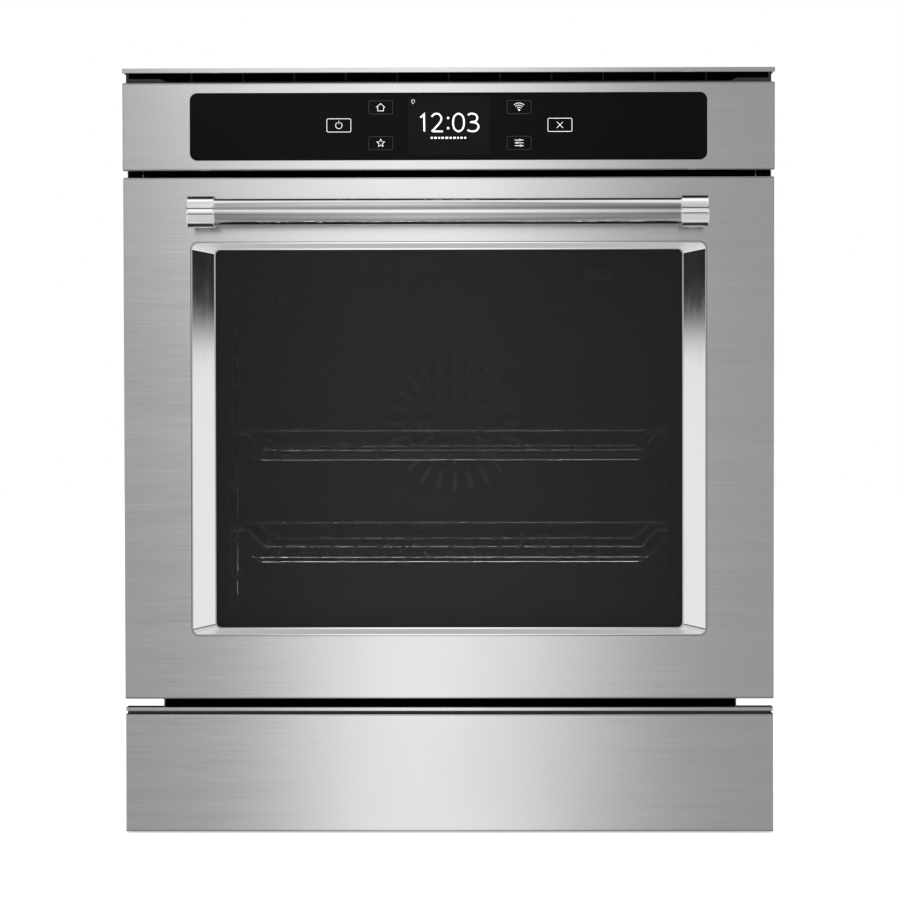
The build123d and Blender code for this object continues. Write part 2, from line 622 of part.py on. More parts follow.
with BuildPart() as bottom_vent_lip:
    block(-300.5, 300.5, FRONT_Y, FRONT_Y + 20, LIP_BOTTOM, LIP_TOP)
    fillet(bottom_vent_lip.edges().filter_by(Axis.Z), 1.6)
    fillet(bottom_vent_lip.edges().filter_by(Axis.X).group_by(Axis.Y)[0], 0.8)
    block(-296, 296, FRONT_Y + 18, FRONT_Y + 19.5, LOWER_TRIM_TOP, LIP_BOTTOM + 1)
save(bottom_vent_lip, "bottom_vent_lip")

# ---------------------------------------------------------------- door
door_half = DOOR_WIDTH / 2

with BuildPart() as door_skin:
    block(-door_half, door_half, FRONT_Y, DOOR_BACK + SHEET, DOOR_BOTTOM, DOOR_TOP)
    fillet(door_skin.edges().filter_by(Axis.X).group_by(Axis.Y)[0], BEND)
    fillet(door_skin.edges().filter_by(Axis.Z).group_by(Axis.Y)[0], SIDE_BEND)
    block(-door_half + SKIN, door_half - SKIN, FRONT_Y + SKIN, DOOR_BACK + 5, DOOR_BOTTOM + SKIN,
          DOOR_TOP - SKIN, mode=Mode.SUBTRACT)
    plate(FRONT_Y + 5, 10, BEZEL_WIDTH + 1, BEZEL_HEIGHT + 1, WINDOW_Z, 7, mode=Mode.SUBTRACT)
    with Locations((0, -298, DOOR_TOP)):
        with GridLocations(40, 0, 12, 1):
            Box(28, 5, 6, mode=Mode.SUBTRACT)
    for side in (-1, 1):
        inner, outer = sorted((side * (HINGE_X - 5), side * (HINGE_X + 5)))
        block(inner, outer, HINGE_Y - 9, DOOR_BACK + 5, DOOR_BOTTOM - 1, DOOR_BOTTOM + 3,
              mode=Mode.SUBTRACT)
        rod((side * 227, FRONT_Y + 5, HANDLE_Z), (0, -1, 0), 2.6, 8, mode=Mode.SUBTRACT)
save(door_skin, "door_skin")

RIM = 1.2

with BuildPart() as window_bezel:
    plate(BEZEL_BACK, BEZEL_BACK - FRONT_Y, BEZEL_WIDTH, BEZEL_HEIGHT, WINDOW_Z, 6.5)
    with BuildSketch(facing(FRONT_Y)):
        with Locations((0, WINDOW_Z)):
            RectangleRounded(BEZEL_WIDTH - 2 * RIM, BEZEL_HEIGHT - 2 * RIM, 5.5)
    with BuildSketch(facing(BEZEL_BACK - RIM)):
        with Locations((0, WINDOW_Z)):
            RectangleRounded(SIGHT_WIDTH + 2 * RIM, SIGHT_HEIGHT + 2 * RIM, 5.0)
    loft(mode=Mode.SUBTRACT)
    plate(BEZEL_BACK + 1, 5, SIGHT_WIDTH, SIGHT_HEIGHT, WINDOW_Z, 4.6, mode=Mode.SUBTRACT)
save(window_bezel, "window_bezel")

OUTER_GLASS = 4.0
PACK_FRONT = BEZEL_BACK + OUTER_GLASS
PACK_BACK = -285.0
PLUG_BACK = -280.0

with BuildPart() as door_glass_outer:
    plate(PACK_FRONT, OUTER_GLASS, GLASS_PACK[0], GLASS_PACK[1], WINDOW_Z, 5)
save(door_glass_outer, "door_glass_outer")

with BuildPart() as glass_pack_frame:
    plate(PACK_BACK, PACK_BACK - PACK_FRONT, GLASS_PACK[0], GLASS_PACK[1], WINDOW_Z, 5)
    plate(PACK_BACK + 1, 30, 446, 356, WINDOW_Z, 6, mode=Mode.SUBTRACT)
    plate(-296, 3, 456, 362, WINDOW_Z, 3, mode=Mode.SUBTRACT)
save(glass_pack_frame, "glass_pack_frame")

with BuildPart() as door_glass_middle:
    plate(-296, 3, 456, 362, WINDOW_Z, 3)
save(door_glass_middle, "door_glass_middle")

with BuildPart() as door_liner:
    block(-door_half + SKIN, door_half - SKIN, DOOR_BACK - SHEET, DOOR_BACK, DOOR_BOTTOM + SKIN,
          DOOR_TOP - SKIN)
    plate(PLUG_BACK, PLUG_BACK - DOOR_BACK, 468, 400, CAVITY_MID, 26)
    plate(PLUG_BACK - SHEET, 5, 466, 398, CAVITY_MID, 25, mode=Mode.SUBTRACT)
    plate(PLUG_BACK + 1, 8, 412, 338, WINDOW_Z, 12, mode=Mode.SUBTRACT)
    for side in (-1, 1):
        inner, outer = sorted((side * (HINGE_X - 5), side * (HINGE_X + 5)))
        block(inner, outer, DOOR_BACK - 3, DOOR_BACK + 1, DOOR_BOTTOM, 142.5, mode=Mode.SUBTRACT)
    block(-7, 17, DOOR_BACK - 3, DOOR_BACK + 1, 590, 601.5, mode=Mode.SUBTRACT)
    for x in (-270, 270):
        for z in (180, 365, 550):
            rod((x, DOOR_BACK + 1, z), (0, -1, 0), SCREW_HOLE_R, 3, mode=Mode.SUBTRACT)
save(door_liner, "door_liner")

with BuildPart() as door_glass_inner:
    plate(PLUG_BACK - SHEET, 4, 440, 354, WINDOW_Z, 4)
save(door_glass_inner, "door_glass_inner")


def hinge_channel(side):
    """Steel channel inside the door's edge that carries the hinge pin; open at the back and below."""
    with BuildPart() as channel:
        inner, outer = sorted((side * (HINGE_X - 8), side * (HINGE_X + 8)))
        block(inner, outer, FRONT_Y + SKIN, -288, DOOR_BOTTOM + 2, 300)
        hollow_inner, hollow_outer = sorted((side * (HINGE_X - 6), side * (HINGE_X + 6)))
        block(hollow_inner, hollow_outer, FRONT_Y + SKIN + 2, -280, DOOR_BOTTOM, 310,
              mode=Mode.SUBTRACT)
        rod((side * 240, HINGE_Y, HINGE_Z), (side, 0, 0), HINGE_PIN_R, 30, mode=Mode.SUBTRACT)
    return channel


save(hinge_channel(-1), "hinge_channel_left")
save(hinge_channel(1), "hinge_channel_right")

with BuildPart() as hinge_pins:
    for side in (-1, 1):
        rod((side * (HINGE_X - 8), HINGE_Y, HINGE_Z), (side, 0, 0), HINGE_PIN_R, 16)
        rod((side * (HINGE_X - 8), HINGE_Y, HINGE_Z), (-side, 0, 0), 6, 1.5)
        rod((side * (HINGE_X + 8), HINGE_Y, HINGE_Z), (side, 0, 0), 6, 1.5)
save(hinge_pins, "hinge_pins")


def hinge_arm(side):
    """Arm that the door turns on, with the receiver pocket that holds it inside the body."""
    with BuildPart() as arm:
        inner, outer = sorted((side * (HINGE_X - 2.5), side * (HINGE_X + 2.5)))
        block(inner, outer, HINGE_Y, -205, HINGE_Z - 6.5, HINGE_Z + 6.5)
        rod((side * (HINGE_X - 2.5), HINGE_Y, HINGE_Z), (side, 0, 0), 7.5, 5)
        rod((side * (HINGE_X - 5), HINGE_Y, HINGE_Z), (side, 0, 0), HINGE_PIN_R + RUNNING, 10,
            mode=Mode.SUBTRACT)
        inner, outer = sorted((side * (HINGE_X - 10), side * (HINGE_X + 10)))
        block(inner, outer, FACE_Y + 3, -203, 130, 132)
        block(inner, outer, FACE_Y + 3, -203, 154, 156)
        block(inner, outer, -205, -203, 130, 156)
        for edge in (HINGE_X - 10, HINGE_X + 8):
            inner, outer = sorted((side * edge, side * (edge + 2)))
            block(inner, outer, FACE_Y + 3, -203, 130, 156)
        tab_inner, tab_outer = sorted((side * (HINGE_X + 2.5), side * (HINGE_X + 8)))
        block(tab_inner, tab_outer, -240, -220, HINGE_Z - 2, HINGE_Z + 2)
    return arm


save(hinge_arm(-1), "hinge_arm_left")
save(hinge_arm(1), "hinge_arm_right")

# ---------------------------------------------------------------- handle
with BuildPart() as handle_bar:
    with BuildSketch(Plane.YZ.offset(-HANDLE_HALF - 5)):
        with Locations((HANDLE_Y, HANDLE_Z)):
            Circle(HANDLE_R)
            Circle(HANDLE_R - 1.6, mode=Mode.SUBTRACT)
    extrude(amount=2 * (HANDLE_HALF + 5))
save(handle_bar, "handle_bar")


def handle_end(side):
    """End of the handle: a round cap with a shoulder, and the post that stands on the door."""
    with BuildPart() as cap:
        rod((side * (HANDLE_HALF + SHOULDER), HANDLE_Y, HANDLE_Z), (side, 0, 0), CAP_R,
            CAP_END - HANDLE_HALF - SHOULDER)
        fillet(cap.edges().filter_by(GeomType.CIRCLE), 1.0)
        rod((side * HANDLE_HALF, HANDLE_Y, HANDLE_Z), (side, 0, 0), SHOULDER_R, 6)
        with BuildSketch(facing(FRONT_Y)):
            with Locations((side * 227.2, HANDLE_Z)):
                RectangleRounded(18, 24, 6)
        extrude(amount=FRONT_Y - HANDLE_Y)
        rod((side * (HANDLE_HALF - 1), HANDLE_Y, HANDLE_Z), (side, 0, 0), HANDLE_R, 6,
            mode=Mode.SUBTRACT)
        rod((side * 227, FRONT_Y + 1, HANDLE_Z), (0, -1, 0), 2.5, 15, mode=Mode.SUBTRACT)
    return cap


save(handle_end(-1), "handle_end_left")
save(handle_end(1), "handle_end_right")

# ---------------------------------------------------------------- latch and switch
with BuildPart() as latch_motor:
    block(-35, 45, FACE_Y + 3, -205, 591.2, 592.7)
    rod((0, LATCH_Y, 592.7), (0, 0, 1), 3, 6)
    rod((0, LATCH_Y, 598), (0, 0, 1), 5, 1.5)
    rod((22, -226, 592.7), (0, 0, 1), 17, 26)
    block(2, 42, -230, -222, 592.7, 600)
save(latch_motor, "latch_motor")

with BuildPart() as door_latch_hook:
    block(-4, 4, -299.5, LATCH_Y, LATCH_Z, LATCH_Z + 4)
    block(-4, 14, -299.5, -293, LATCH_Z, LATCH_Z + 4)
    rod((0, LATCH_Y, LATCH_Z), (0, 0, 1), 8, 4)
    fillet(door_latch_hook.edges().filter_by(Axis.Z).group_by(Axis.Y)[0], 2)
    rod((0, LATCH_Y, LATCH_Z - 1), (0, 0, 1), 3 + RUNNING, 6, mode=Mode.SUBTRACT)
save(door_latch_hook, "door_latch_hook")

with BuildPart() as door_switch_body:
    block(SWITCH_X - 10, SWITCH_X + 10, FACE_Y, -246, 591.2, 606)
    rod((SWITCH_X, -250, SWITCH_Z), (0, -1, 0), 3 + RUNNING, 40, mode=Mode.SUBTRACT)
    for x in (SWITCH_X - 5, SWITCH_X + 5):
        block(x - 1, x + 1, -246, -240, 596, 601)
save(door_switch_body, "door_switch_body")

with BuildPart() as door_switch_plunger:
    rod((SWITCH_X, -254, SWITCH_Z), (0, -1, 0), 3, -254 - DOOR_BACK - 0.3)
    fillet(door_switch_plunger.edges().group_by(Axis.Y)[0], 1.2)
save(door_switch_plunger, "door_switch_plunger")

# ---------------------------------------------------------------- screws
HEAD_R = 4.0
SHANK_R = 1.9


def screw(seat, outward, grip):
    """Pan-head screw: the head stands on the seat and the shank runs inward."""
    inward = tuple(-component for component in outward)
    rod(seat, outward, HEAD_R, 1.8)
    rod(seat, inward, SHANK_R, grip)


with BuildPart() as chassis_screws:
    for x, z in REAR_SCREWS:
        screw((x, BODY_BACK, z), (0, 1, 0), 6)
    for x, y in COVER_SCREWS:
        screw((x, y, BODY_TOP), (0, 0, 1), 6)
save(chassis_screws, "chassis_screws")

with BuildPart() as door_screws:
    for x in (-270, 270):
        for z in (180, 365, 550):
            screw((x, DOOR_BACK, z), (0, 1, 0), 6)
    for side in (-1, 1):
        rod((side * 227, FRONT_Y + SKIN, HANDLE_Z), (0, 1, 0), 4.5, 3)
        rod((side * 227, FRONT_Y + SKIN, HANDLE_Z), (0, -1, 0), 2.45, 14)
save(door_screws, "door_screws")
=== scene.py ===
"""Looks for a built-in wall oven: brushed stainless front, framed dark window, touch control panel."""
import json
from math import cos, radians, sin

import bpy
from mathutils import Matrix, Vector


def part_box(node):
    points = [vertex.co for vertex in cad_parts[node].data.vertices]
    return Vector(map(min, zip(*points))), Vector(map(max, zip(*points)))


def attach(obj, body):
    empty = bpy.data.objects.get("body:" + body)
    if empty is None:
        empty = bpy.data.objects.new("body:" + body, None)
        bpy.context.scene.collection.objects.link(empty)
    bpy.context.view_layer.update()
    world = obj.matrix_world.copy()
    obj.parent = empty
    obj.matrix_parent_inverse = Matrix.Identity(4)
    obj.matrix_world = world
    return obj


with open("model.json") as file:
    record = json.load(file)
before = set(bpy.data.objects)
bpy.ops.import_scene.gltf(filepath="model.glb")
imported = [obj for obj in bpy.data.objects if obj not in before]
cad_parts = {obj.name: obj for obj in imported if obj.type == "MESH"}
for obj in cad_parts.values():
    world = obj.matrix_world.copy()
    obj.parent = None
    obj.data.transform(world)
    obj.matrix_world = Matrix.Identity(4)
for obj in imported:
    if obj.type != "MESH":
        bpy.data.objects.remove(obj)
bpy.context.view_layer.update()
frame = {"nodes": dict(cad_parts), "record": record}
NODES = frame["nodes"]

FRONT_Y = -0.321  # the face of the control panel and the door, in metres


# ------------------------------------------------------------------ node helpers
class Nodes:
    """Short ways to add and join the nodes of one tree."""

    def __init__(self, tree):
        self.tree = tree

    def node(self, kind, **values):
        made = self.tree.nodes.new(kind)
        for key, value in values.items():
            setattr(made, key, value)
        return made

    def link(self, source, target):
        self.tree.links.new(source, target)

    def map_range(self, value, ranges, interpolation):
        """Maps a value from one range to another."""
        made = self.node("ShaderNodeMapRange", interpolation_type=interpolation)
        for name, number in zip(("From Min", "From Max", "To Min", "To Max"), ranges):
            made.inputs[name].default_value = number
        self.link(value, made.inputs["Value"])
        return made.outputs["Result"]

    def ramp(self, value, low, high, out_low, out_high):
        return self.map_range(value, (low, high, out_low, out_high), "LINEAR")

    def smooth(self, value, low, high, out_low, out_high):
        return self.map_range(value, (low, high, out_low, out_high), "SMOOTHSTEP")

    def math(self, operation, first, second=0.0):
        made = self.node("ShaderNodeMath", operation=operation)
        for socket, value in zip(made.inputs, (first, second)):
            if isinstance(value, (int, float)):
                socket.default_value = value
            else:
                self.link(value, socket)
        return made.outputs["Value"]


class Shader(Nodes):
    """A material being built on its Principled node."""

    def __init__(self, name):
        self.material = bpy.data.materials.new(name)
        self.material.use_nodes = True
        super().__init__(self.material.node_tree)
        self.bsdf = self.tree.nodes["Principled BSDF"]

    def set(self, **values):
        for key, value in values.items():
            self.bsdf.inputs[key.replace("_", " ")].default_value = value

    def position(self, scale=(1, 1, 1)):
        """Object coordinates in metres, stretched by a scale."""
        place = self.node("ShaderNodeTexCoord")
        stretch = self.node("ShaderNodeMapping")
        stretch.inputs["Scale"].default_value = scale
        self.link(place.outputs["Object"], stretch.inputs["Vector"])
        return stretch.outputs["Vector"]

    def noise(self, vector, scale, detail=3.0, roughness=0.5):
        made = self.node("ShaderNodeTexNoise")
        made.inputs["Scale"].default_value = scale
        made.inputs["Detail"].default_value = detail
        made.inputs["Roughness"].default_value = roughness
        self.link(vector, made.inputs["Vector"])
        return made.outputs["Fac"]

    def mix(self, factor, first, second):
        """Blends two colours."""
        made = self.node("ShaderNodeMix", data_type="RGBA")
        for socket, value in ((made.inputs[0], factor), (made.inputs[6], first), (made.inputs[7], second)):
            if isinstance(value, (int, float)):
                socket.default_value = value
            elif isinstance(value, tuple):
                socket.default_value = (*value, 1)
            else:
                self.link(value, socket)
        return made.outputs[2]

    def bump(self, height, strength, distance):
        made = self.node("ShaderNodeBump")
        made.inputs["Strength"].default_value = strength
        made.inputs["Distance"].default_value = distance
        self.link(height, made.inputs["Height"])
        self.link(made.outputs["Normal"], self.bsdf.inputs["Normal"])

    def colour(self, source):
        self.link(source, self.bsdf.inputs["Base Color"])

    def rough(self, source):
        self.link(source, self.bsdf.inputs["Roughness"])

    def facing(self):
        """How far the surface faces up, from -1 to 1."""
        turned = self.node("ShaderNodeSeparateXYZ")
        self.link(self.node("ShaderNodeTexCoord").outputs["Normal"], turned.inputs[0])
        return turned.outputs["Z"]


def shades(tone, factor):
    """A colour made lighter or darker."""
    return tuple(min(1, c * factor) for c in tone)


def brushed(name, tone, grain=(6, 900, 900), rough=(0.2, 0.3), strength=0.05, anisotropic=0.0):
    """Brushed metal: fine streaks that run along the axis with the smallest stretch."""
    made = Shader(name)
    streaks = made.noise(made.position(grain), 1.0, 4.0, 0.65)
    broad = made.noise(made.position(tuple(g * 0.12 for g in grain)), 1.0, 2.0, 0.5)
    cloud = made.noise(made.position((9, 9, 9)), 1.0, 3.0, 0.5)
    both = made.math("ADD", made.math("MULTIPLY", streaks, 0.6), made.math("MULTIPLY", broad, 0.4))
    made.colour(made.mix(made.ramp(both, 0.3, 0.7, 0, 1), shades(tone, 0.94), shades(tone, 1.05)))
    streaky = made.ramp(both, 0.3, 0.7, rough[0], rough[1])
    made.rough(made.math("ADD", streaky, made.ramp(cloud, 0.3, 0.7, -0.01, 0.012)))
    made.bump(both, strength, 0.0004)
    made.set(Metallic=1.0)
    if anisotropic:
        made.set(Anisotropic=anisotropic, Anisotropic_Rotation=0.25)
        turn = made.node("ShaderNodeTangent", direction_type="RADIAL", axis="Z")
        made.link(turn.outputs["Tangent"], made.bsdf.inputs["Tangent"])
    return made.material


def painted(name, tone, rough=0.4, speckle=0.05, texture=0.15, scale=900, metallic=0.0, coat=0.0,
            level=0.5):
    """Paint, enamel or moulded plastic with a fine orange-peel texture and slight patches of wear."""
    made = Shader(name)
    place = made.position()
    fine = made.noise(place, scale, 3.0, 0.6)
    patch = made.noise(place, 14, 4.0, 0.55)
    dark = tuple(max(0, c * (1 - speckle * 2)) for c in tone)
    light = tuple(min(1, c * (1 + speckle * 2) + speckle * 0.01) for c in tone)
    made.colour(made.mix(made.ramp(patch, 0.35, 0.65, 0, 1), dark, light))
    made.rough(made.ramp(patch, 0.3, 0.7, rough * 0.9, min(1, rough * 1.15)))
    made.bump(fine, texture, 0.0003)
    made.set(Metallic=metallic, Specular_IOR_Level=level)
    if coat:
        made.set(Coat_Weight=coat, Coat_Roughness=0.08)
    return made.material


def enamel(name, tone):
    """Glossy porcelain enamel with pale flecks."""
    made = Shader(name)
    place = made.position()
    cells = made.node("ShaderNodeTexVoronoi")
    cells.inputs["Scale"].default_value = 420
    made.link(place, cells.inputs["Vector"])
    fleck = made.ramp(cells.outputs["Distance"], 0.10, 0.16, 1, 0)
    thin = made.noise(place, 160, 2.0)
    chosen = made.math("MULTIPLY", fleck, made.ramp(thin, 0.52, 0.6, 0, 1))
    made.colour(made.mix(chosen, tone, (0.34, 0.37, 0.42)))
    wave = made.noise(place, 60, 2.0)
    made.rough(made.ramp(wave, 0.3, 0.7, 0.26, 0.36))
    made.bump(wave, 0.08, 0.001)
    made.set(Specular_IOR_Level=0.22)
    return made.material


def glass(name, tone, alpha, rough=0.03, level=0.5):
    """Flat glass: a thin tint that shows what is behind it, with faint smears in its gloss."""
    made = Shader(name)
    smear = made.noise(made.position((6, 6, 2)), 3.0, 4.0, 0.6)
    made.rough(made.ramp(smear, 0.35, 0.7, rough, rough + 0.025))
    tint = made.noise(made.position(), 30, 2.0)
    made.colour(made.mix(tint, shades(tone, 0.95), shades(tone, 1.05)))
    made.set(Alpha=alpha, Specular_IOR_Level=level)
    return made.material


def glow(name, tone, strength):
    """A surface that gives off light of its own, such as lit print."""
    made = Shader(name)
    grain = made.noise(made.position(), 2500, 1.0)
    made.colour(made.mix(grain, shades(tone, 0.9), tone))
    made.rough(made.ramp(grain, 0, 1, 0.4, 0.5))
    made.set(Emission_Color=(*tone, 1), Emission_Strength=strength)
    return made.material


def spangled(name, tone):
    """Galvanised sheet: small zinc crystals, each a slightly different grey."""
    made = Shader(name)
    place = made.position()
    crystals = made.node("ShaderNodeTexVoronoi")
    crystals.inputs["Scale"].default_value = 95
    made.link(place, crystals.inputs["Vector"])
    shade = crystals.outputs["Color"]
    made.colour(made.mix(shade, shades(tone, 0.9), shades(tone, 1.08)))
    made.rough(made.ramp(shade, 0, 1, 0.34, 0.46))
    made.bump(made.noise(place, 700, 3.0), 0.06, 0.0003)
    made.set(Metallic=0.9)
    return made.material


def wool(name):
    """Matted mineral fibre."""
    made = Shader(name)
    place = made.position()
    fibres = made.noise(made.position((1, 3, 1)), 240, 8.0, 0.75)
    lumps = made.noise(place, 22, 4.0)
    made.colour(made.mix(fibres, (0.62, 0.55, 0.38), (0.86, 0.82, 0.7)))
    made.rough(made.ramp(lumps, 0, 1, 0.85, 1.0))
    made.bump(made.math("ADD", fibres, lumps), 0.8, 0.003)
    return made.material


def woven(name, tone):
    """Braided seal rope: a fine crossed weave."""
    made = Shader(name)
    weave = made.node("ShaderNodeTexWave", wave_type="BANDS", bands_direction="DIAGONAL")
    weave.inputs["Scale"].default_value = 320
    weave.inputs["Distortion"].default_value = 1.5
    made.link(made.position(), weave.inputs["Vector"])
    fuzz = made.noise(made.position(), 900, 3.0)
    made.colour(made.mix(weave.outputs["Fac"], shades(tone, 0.6), shades(tone, 1.4)))
    made.rough(made.ramp(fuzz, 0, 1, 0.75, 0.95))
    made.bump(made.math("ADD", weave.outputs["Fac"], fuzz), 0.6, 0.0008)
    return made.material


def bezel_finish(name, tone):
    """Polished frame round the window: satin upper and lower slopes, mirror-bright side slopes."""
    made = Shader(name)
    streaks = made.noise(made.position((40, 500, 40)), 1.0, 4.0, 0.65)
    satin = made.ramp(made.math("ABSOLUTE", made.facing()), 0.04, 0.16, 0, 1)
    made.colour(made.mix(streaks, shades(tone, 0.97), tone))
    polish = made.ramp(streaks, 0.3, 0.7, 0.035, 0.055)
    made.rough(made.math("ADD", polish, made.math("MULTIPLY", satin, 0.3)))
    made.link(made.ramp(satin, 0, 1, 1.0, 0.3), made.bsdf.inputs["Metallic"])
    made.bump(streaks, 0.004, 0.0004)
    return made.material


def cap_painted_reflections(name):
    """The handle's caps, brighter than its bar, with painted dark reflections in their colour: bands near
    their rims and two fine lines, placed by which way the surface faces.
    """
    made = Shader(name)
    grain = made.noise(made.position((60, 1200, 60)), 1.0, 3.0)
    upright = made.facing()
    rim = made.math("ABSOLUTE", upright)
    # painted reflection: dark bands where the surface tips steeply up or down
    band = made.math("MULTIPLY", made.ramp(rim, 0.72, 0.79, 0, 1), made.ramp(rim, 0.93, 0.98, 1, 0))

    def painted_reflection_line(centre, half):
        """1 where the surface tips up by about the centre value, 0 elsewhere."""
        away = made.math("ABSOLUTE", made.math("SUBTRACT", upright, centre))
        return made.ramp(away, half * 0.5, half, 1, 0)

    # painted reflection: two thin dark lines a little above and below the caps' middle
    painted_reflection_lines = made.math("MAXIMUM", painted_reflection_line(0.17, 0.055), painted_reflection_line(-0.17, 0.05))
    # the painted dark reflections are mixed into the caps' colour here
    dark = made.math("MINIMUM", made.math("ADD", band, made.math("MULTIPLY", painted_reflection_lines, 0.8)), 1.0)
    bright = made.mix(grain, (0.88, 0.88, 0.88), (0.93, 0.93, 0.93))
    made.colour(made.mix(dark, bright, (0.03, 0.03, 0.03)))
    made.rough(made.ramp(grain, 0.3, 0.7, 0.04, 0.07))
    made.set(Metallic=0.6, Specular_IOR_Level=0.8)
    return made.material


MATERIALS = {
    "stainless_front": brushed("stainless_front", (0.62, 0.62, 0.62), (22, 420, 620), (0.115, 0.16), 0.03,
                               anisotropic=0.9),
    "handle_steel": brushed("handle_steel", (0.7, 0.7, 0.7), (9, 1500, 1500), (0.08, 0.12), 0.02),
    "bezel_steel": bezel_finish("bezel_steel", (0.74, 0.74, 0.74)),
    "black_paint": painted("black_paint", (0.0018, 0.0018, 0.0018), rough=0.65, level=0.04),
    "galvanised_steel": spangled("galvanised_steel", (0.52, 0.535, 0.545)),
    "enamel": enamel("enamel", (0.010, 0.011, 0.014)),
    "gasket": woven("gasket", (0.13, 0.13, 0.13)),
    "insulation_wool": wool("insulation_wool"),
    "door_glass_dark": glass("door_glass_dark", (0.017, 0.017, 0.018), 0.6, 0.02, 0.12),
    "clear_glass": glass("clear_glass", (0.3, 0.34, 0.33), 0.02, 0.02, 0.2),
    "control_glass_black": glass("control_glass_black", (0.0036, 0.0036, 0.0037), 1.0, 0.03, 0.035),
    "black_plastic": painted("black_plastic", (0.02, 0.02, 0.02), rough=0.55, texture=0.25, scale=1200),
    "display_plastic": painted("display_plastic", (0.03, 0.035, 0.04), rough=0.25),
    "circuit_board": painted("circuit_board", (0.02, 0.16, 0.07), 0.35, 0.08, 0.3, 500, coat=0.4),
    "element_sheath": painted("element_sheath", (0.07, 0.066, 0.064), 0.55, 0.1, 0.3, 700, 0.7),
    "fan_metal": brushed("fan_metal", (0.6, 0.6, 0.6), (300, 300, 12), (0.3, 0.42), 0.05),
    "motor_steel": painted("motor_steel", (0.3, 0.3, 0.31), 0.42, 0.08, 0.2, 400, 0.8),
    "rack_chrome": brushed("rack_chrome", (0.78, 0.78, 0.78), (200, 200, 200), (0.22, 0.3), 0.02),
    "lamp_ceramic": painted("lamp_ceramic", (0.8, 0.78, 0.72), rough=0.6),
    "hardware_steel": brushed("hardware_steel", (0.6, 0.6, 0.6), (400, 400, 60), (0.22, 0.35), 0.05),
    "hinge_steel": painted("hinge_steel", (0.42, 0.42, 0.43), 0.38, 0.08, 0.2, 500, 0.85),
}
for part in frame["record"]["subparts"]:
    mesh = NODES[part["node"]].data
    mesh.materials.clear()
    mesh.materials.append(MATERIALS[part["material_slot"]])


CAP_PAINTED_REFLECTIONS = cap_painted_reflections("cap_painted_reflections")
# the caps take the finish with painted dark reflection bands and lines
for side in ("left", "right"):
    NODES["handle_end_" + side].data.materials[0] = CAP_PAINTED_REFLECTIONS


# ------------------------------------------------------------------ mesh helpers
def rounded_box(x, z, wide, high, corner, steps):
    """Points round a box with round corners, anticlockwise from its right side."""
    points = []
    for quarter, (sx, sz) in enumerate(((1, 1), (-1, 1), (-1, -1), (1, -1))):
        for i in range(steps + 1):
            turn = radians(90 * quarter + 90 / steps * i)
            points.append((x + sx * (wide / 2 - corner) + corner * cos(turn),
                           z + sz * (high / 2 - corner) + corner * sin(turn)))
    return points


def piece(name, verts, faces, material, body):
    """A mesh object that rides on a body and takes the material it is given."""
    mesh = bpy.data.meshes.new(name)
    mesh.from_pydata(verts, [], faces)
    mesh.update()
    made = bpy.data.objects.new(name, mesh)
    bpy.context.scene.collection.objects.link(made)
    made.data.materials.append(material)
    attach(made, body)
    return made


class Print:
    """Flat print on an upright face: outlines in X and Z, all at one depth, gathered as one mesh."""

    def __init__(self, depth):
        self.depth = depth
        self.verts = []
        self.faces = []

    def polygon(self, points):
        """Adds one flat face; points run clockwise or anticlockwise in X and Z."""
        area = sum(a[0] * b[1] - b[0] * a[1] for a, b in zip(points, points[1:] + points[:1]))
        ordered = points if area > 0 else points[::-1]
        start = len(self.verts)
        self.verts += [(x, self.depth, z) for x, z in ordered]
        self.faces.append(tuple(range(start, start + len(ordered))))

    def stroke(self, points, width, closed=False):
        """A line of constant width through the points, mitred at its corners."""
        count = len(points)
        sides = []
        for i, (x, z) in enumerate(points):
            before = points[(i - 1) % count] if closed or i > 0 else None
            after = points[(i + 1) % count] if closed or i < count - 1 else None
            normals = []
            for a, b in ((before, (x, z)), ((x, z), after)):
                if a is None or b is None:
                    continue
                run = Vector((b[0] - a[0], b[1] - a[1])).normalized()
                normals.append(Vector((-run.y, run.x)))
            middle = sum(normals, Vector((0, 0))).normalized()
            reach = width / 2 / max(0.4, middle.dot(normals[0]))
            along, up = middle.x * reach, middle.y * reach
            sides.append(((x + along, z + up), (x - along, z - up)))
        last = count if closed else count - 1
        for i in range(last):
            (a, b), (c, d) = sides[i], sides[(i + 1) % count]
            self.polygon([a, c, d, b])

    def arc(self, x, z, radius, start, end, width, steps=24):
        """Part of a ring, in degrees from +X toward +Z."""
        turn = [radians(start + (end - start) * i / steps) for i in range(steps + 1)]
        whole = abs(end - start) >= 360
        points = [(x + radius * cos(t), z + radius * sin(t)) for t in (turn[:-1] if whole else turn)]
        self.stroke(points, width, closed=whole)

    def outline(self, x, z, wide, high, corner, width):
        """Outline of a box with round corners."""
        self.stroke(rounded_box(x, z, wide, high, corner, 5), width, closed=True)

    def finish(self, name, material, body):
        return piece(name, self.verts, self.faces, material, body)


# ------------------------------------------------------------------ control panel print
GLASS_LOW, GLASS_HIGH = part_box("control_glass")
PRINT_Y = GLASS_LOW[1] - 0.00004
PRINT_WHITE = glow("print_white", (0.86, 0.86, 0.86), 0.75)
PRINT_DIM = glow("print_dim", (0.06, 0.06, 0.062), 0.03)
PRINT_SCREEN = painted("print_screen", (0.0047, 0.0047, 0.0048), 0.3, 0.02, 0.02, level=0.12)
LINE = 0.00042  # width of a printed line
KEY_BOX = (0.0222, 0.0122, 0.0012)  # a key's width, height and corner radius


def icon_power(ink, x, z):
    ink.arc(x, z, 0.0030, 120, 420, LINE)
    ink.stroke([(x, z + 0.0014), (x, z + 0.0042)], LINE)


